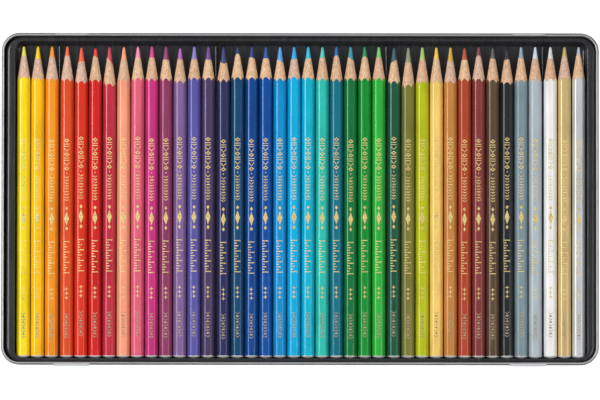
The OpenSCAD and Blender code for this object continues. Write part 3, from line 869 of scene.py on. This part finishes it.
    def foil(self, materials):
        """Raised foil marks on the top flat."""
        slide = self.chance.uniform(-0.8, 0.8)
        aside = self.chance.uniform(-0.12, 0.12)
        flat = self.axis_z + FLATS / 2
        points, faces, slots = [], [], []
        pieces = [(piece, slot) for slot, marks in enumerate(foil_marks()) for outline in marks
                  for piece in strips([(along + slide, across + aside) for along, across in outline])]
        for outline, slot in pieces:
            first = len(points)
            count = len(outline)
            slots += [slot] * (count + 2)
            for level in (flat - LACQUER - 0.010, flat - 0.004):
                points += [(self.axis_x + across, self.tip_y - along, level - facet_drop(across))
                           for along, across in outline]
            faces.append(tuple(range(first + count, first + 2 * count)))
            faces.append(tuple(reversed(range(first, first + count))))
            for k in range(count):
                n = (k + 1) % count
                faces.append((first + k, first + n, first + count + n, first + count + k))
        faces = [tuple(reversed(f)) for f in faces]
        self.dress(new_object(self.body + "_foil", points, faces, materials, slots, sharp_angle=30))


# --- Foil marks: outlines as (distance from the tip, distance across towards +X) ----------------


def bar(start, end, low, high):
    return [(start, low), (start, high), (end, high), (end, low)]


def lozenge(middle, half_length, half_width):
    back, front = middle - half_length, middle + half_length
    return [(back, 0.0), (middle, half_width), (front, 0.0), (middle, -half_width)]


def open_lozenge(middle, half_length, half_width, stroke):
    """A lozenge outline as four bars that meet at its corners."""
    inner_length, inner_width = half_length - stroke * 1.5, half_width - stroke * 1.5
    outer = lozenge(middle, half_length, half_width)
    inner = lozenge(middle, inner_length, inner_width)
    return [[outer[k], outer[(k + 1) % 4], inner[(k + 1) % 4], inner[k]] for k in range(4)]


def chevron(middle, half_length, half_width, stroke):
    back, front = middle - half_length, middle + half_length
    return [(back, half_width), (back + stroke, half_width), (front, 0), (back + stroke, -half_width),
            (back, -half_width), (front - stroke, 0)]


def star(middle, reach):
    points = []
    for k in range(8):
        angle = math.tau * k / 8
        size = reach if k % 2 == 0 else reach * 0.32
        points.append((middle - size * math.cos(angle), size * math.sin(angle)))
    return points


def round_dot(middle, radius):
    angles = [math.tau * k / 12 for k in range(12)]
    return [(middle - radius * math.cos(angle), radius * math.sin(angle)) for angle in angles]


def clip(outline, limit, side):
    """The part of an outline on one side of a line along the pencil."""
    kept = []
    for k, point in enumerate(outline):
        after = outline[(k + 1) % len(outline)]
        here, there = side * (point[1] - limit), side * (after[1] - limit)
        if here >= 0:
            kept.append(point)
        if here * there < 0:
            kept.append((point[0] + (after[0] - point[0]) * here / (here - there), limit))
    return kept


def area(outline):
    return abs(sum(a[0] * b[1] - b[0] * a[1] for a, b in zip(outline, outline[1:] + outline[:1]))) / 2


def strips(outline):
    """An outline parted along the pencil, so that its pieces can follow the convex flat."""
    cuts = [-9.0] + [(part - 0.5) * CORNER_REACH for part in FACET_PARTS] + [9.0]
    pieces = [clip(clip(outline, low, 1), high, -1) for low, high in zip(cuts, cuts[1:])]
    return [piece for piece in pieces if len(piece) > 2 and area(piece) > 0.002]


def foil_marks():
    """The bright marks and the dull marks of a pencil."""
    bright, dull = [], []
    # a band of simple motifs, larger before the dot and smaller after it
    pitch = (BAND_BREAK - 1.4 - BAND_START) / 7
    for k in range(7):
        middle = BAND_START + pitch * (k + 0.5)
        if k % 3 == 0:
            bright += open_lozenge(middle, pitch * 0.46, 1.5, 0.46)
        elif k % 3 == 1:
            bright.append(bar(middle - 0.85, middle - 0.40, -1.45, 1.45))
            bright.append(bar(middle + 0.40, middle + 0.85, -1.45, 1.45))
        else:
            bright.append(chevron(middle, pitch * 0.42, 1.45, 0.58))
    bright.append(round_dot(BAND_BREAK, 0.36))
    small_start = BAND_BREAK + 1.5
    pitch = (BAND_END - small_start) / 9
    for k in range(9):
        middle = small_start + pitch * (k + 0.5)
        if k % 2 == 0:
            bright.append(chevron(middle, pitch * 0.40, 1.15, 0.46))
        else:
            bright.append(bar(middle - 0.24, middle + 0.24, -1.1, 1.1))
            bright.append(round_dot(middle + 0.62, 0.22))
    # three solid lozenges, the middle one long like a needle
    middle = (NEEDLE_START + NEEDLE_END) / 2
    bright += [lozenge(NEEDLE_START + 1.2, 1.2, 0.85), lozenge(middle, 4.0, 1.35),
               lozenge(NEEDLE_END - 1.2, 1.2, 0.85)]
    # ticks like a rule's
    for k in range(TICKS):
        place = TICKS_START + (TICKS_END - TICKS_START) * k / (TICKS - 1)
        length = 1.65 if k % 4 == 0 else 0.6 if k % 2 else 1.05
        bright.append(bar(place - 0.25, place + 0.25, -1.65, -1.65 + 2 * length))
    for k in range(3):
        bright.append(star(STARS_START + 1.1 + k * (STARS_END - STARS_START - 2.2) / 2, 1.25))
    # an even row of small solid lozenges and chevrons
    pitch = (SMALL_END - SMALL_START) / 9
    for k in range(9):
        middle = SMALL_START + pitch * (k + 0.5)
        dull.append(lozenge(middle, pitch * 0.42, 1.2) if k % 2 else chevron(middle, pitch * 0.42, 1.2, 0.46))
    return bright, dull


# cedar in three shades, each as its light, middle and dark tone
CEDAR = (
    ((0.86, 0.60, 0.40, 1), (0.74, 0.48, 0.31, 1), (0.45, 0.26, 0.15, 1)),
    ((0.84, 0.62, 0.48, 1), (0.72, 0.49, 0.37, 1), (0.45, 0.28, 0.21, 1)),
    ((0.92, 0.66, 0.43, 1), (0.80, 0.54, 0.33, 1), (0.50, 0.31, 0.18, 1)),
)


def build_pencils():
    woods = [wood_material(f"cedar_{k + 1}", hue) for k, hue in enumerate(CEDAR)]
    dip = dip_material()
    # each foil's light tone is a painted glint and its dark tone a painted dark reflection
    foils = [
        foil_material("gold_foil", (0.34, 0.20, 0.05, 1), (0.88, 0.64, 0.22, 1), (1.0, 0.90, 0.42, 1)),
        foil_material("worn_foil", (0.13, 0.08, 0.04, 1), (0.42, 0.32, 0.18, 1), (0.72, 0.62, 0.40, 1)),
    ]
    for index, node in enumerate(PENCIL_NODES):
        pencil = Pencil(index, node)
        body_colour, lead_colour = PAINTS[pencil.paint]
        wood = woods[1 if index < 2 else pencil.chance.choice((0, 0, 1, 2, 2))]
        pencil.casing(lacquer_material(pencil.paint, body_colour), wood, dip)
        pencil.lead(lead_material(pencil.paint, lead_colour))
        pencil.foil(foils)


# --- Camera, floor and light --------------------------------------------------------------------

TILT = 5.0  # degrees from straight down, towards the front
LENS = 900.0
SENSOR = 36.0
FRAME_WIDTH = 0.3377  # metres across the 600 pixels at the tin
FRAME_PIXELS = 600
PHOTO_CENTRE_DROP = 0.85  # pixels that the camera's aim lies below the middle of the solids' box
ROLL = 0.07  # degrees that the camera is turned by, so that the tin's right side is lower
FLOOR_REACH_M = 30.0  # half the floor's width, in metres
FLOOR_GAP = 0.0002  # metres between the floor and the tin


def build_camera():
    low, high = CAD_BOUNDS
    tilt = math.radians(TILT)
    back = Vector((0, -math.sin(tilt), math.cos(tilt)))
    up = Vector((0, math.cos(tilt), math.sin(tilt)))
    target = (low + high) / 2 - up * (PHOTO_CENTRE_DROP * FRAME_WIDTH / FRAME_PIXELS)
    data = bpy.data.cameras.new("camera")
    data.lens = LENS
    data.sensor_width = SENSOR
    distance = FRAME_WIDTH * LENS / SENSOR
    data.clip_start = distance * 0.5
    data.clip_end = distance * 2
    camera = bpy.data.objects.new("camera", data)
    camera.location = target + back * distance
    turned = Matrix.Rotation(tilt, 3, "X") @ Matrix.Rotation(math.radians(ROLL), 3, "Z")
    camera.rotation_euler = turned.to_euler()
    bpy.context.scene.collection.objects.link(camera)
    bpy.context.scene.camera = camera


def white_to_camera(tree, lit, strength):
    """Adds white light seen only by the camera and in reflections."""
    path = tree.nodes.new("ShaderNodeLightPath")
    seen = tree.nodes.new("ShaderNodeMath")
    seen.operation = "MAXIMUM"
    tree.links.new(path.outputs["Is Camera Ray"], seen.inputs[0])
    tree.links.new(path.outputs["Is Glossy Ray"], seen.inputs[1])
    level = tree.nodes.new("ShaderNodeMath")
    level.operation = "MULTIPLY"
    level.inputs[1].default_value = strength
    tree.links.new(seen.outputs[0], level.inputs[0])
    glow = tree.nodes.new("ShaderNodeEmission")
    tree.links.new(level.outputs[0], glow.inputs["Strength"])
    add = tree.nodes.new("ShaderNodeAddShader")
    tree.links.new(lit, add.inputs[0])
    tree.links.new(glow.outputs[0], add.inputs[1])
    return add.outputs[0]


def build_floor():
    mesh = bpy.data.meshes.new("floor")
    corners = [(x * FLOOR_REACH_M, y * FLOOR_REACH_M, 0) for x, y in ((-1, -1), (1, -1), (1, 1), (-1, 1))]
    mesh.from_pydata(corners, [], [(0, 1, 2, 3)])
    floor = bpy.data.objects.new("floor", mesh)
    floor.location.z = CAD_BOUNDS[0].z - FLOOR_GAP
    bpy.context.scene.collection.objects.link(floor)
    shader = Shader("floor_white")
    shader.set(Base_Color=(0.86, 0.86, 0.86, 1), Roughness=0.9, Specular_IOR_Level=0.1)
    lit = white_to_camera(shader.tree, shader.principled.outputs[0], 0.75)
    shader.link(lit, shader.output.inputs["Surface"])
    mesh.materials.append(shader.material)


def build_world():
    """White to the camera, an even grey to diffuse light, and a bright horizon to reflections."""
    world = bpy.data.worlds.new("studio")
    bpy.context.scene.world = world
    world.use_nodes = True
    tree = world.node_tree
    path = tree.nodes.new("ShaderNodeLightPath")
    # what reflections see goes from the horizon's tone to the zenith's
    place = tree.nodes.new("ShaderNodeTexCoord")
    split = tree.nodes.new("ShaderNodeSeparateXYZ")
    tree.links.new(place.outputs["Generated"], split.inputs[0])
    ramp = tree.nodes.new("ShaderNodeValToRGB")
    horizon, zenith = ramp.color_ramp.elements
    horizon.position, horizon.color = 0.05, (0.46, 0.46, 0.47, 1)
    zenith.position, zenith.color = 0.90, (0.1, 0.1, 0.102, 1)
    tree.links.new(split.outputs["Z"], ramp.inputs["Fac"])
    room = tree.nodes["Background"]
    room.inputs["Color"].default_value = (0.24, 0.24, 0.245, 1)
    mirrored = tree.nodes.new("ShaderNodeBackground")
    tree.links.new(ramp.outputs["Color"], mirrored.inputs["Color"])
    white = tree.nodes.new("ShaderNodeBackground")
    white.inputs["Color"].default_value = (1, 1, 1, 1)
    shown = room.outputs[0]
    for ray, background in (("Is Glossy Ray", mirrored), ("Is Camera Ray", white)):
        mix = tree.nodes.new("ShaderNodeMixShader")
        tree.links.new(path.outputs[ray], mix.inputs[0])
        tree.links.new(shown, mix.inputs[1])
        tree.links.new(background.outputs[0], mix.inputs[2])
        shown = mix.outputs[0]
    tree.links.new(shown, tree.nodes["World Output"].inputs["Surface"])


def area_light(name, position, size_x, size_y, energy, glossy=True):
    """A soft box aimed at the tin. One that isn't glossy shows in no reflection."""
    data = bpy.data.lights.new(name, "AREA")
    data.shape = "RECTANGLE"
    data.size, data.size_y = size_x, size_y
    data.energy = energy
    lamp = bpy.data.objects.new(name, data)
    lamp.location = position
    lamp.rotation_euler = (-Vector(position)).to_track_quat("-Z", "Y").to_euler()
    lamp.visible_glossy = glossy
    bpy.context.scene.collection.objects.link(lamp)


def build_light():
    area_light("key_left", (-1.05, 0.25, 1.15), 0.5, 1.25, 17)
    area_light("fill_right", (1.1, -0.2, 1.1), 0.5, 1.2, 7.6)
    area_light("overhead", (0.0, -0.42, 1.55), 1.4, 0.7, 5.4, glossy=False)
    bpy.context.scene.view_settings.view_transform = "Standard"


build_camera()
build_floor()
build_world()
build_light()
build_tin()
build_tray()
build_pencils()
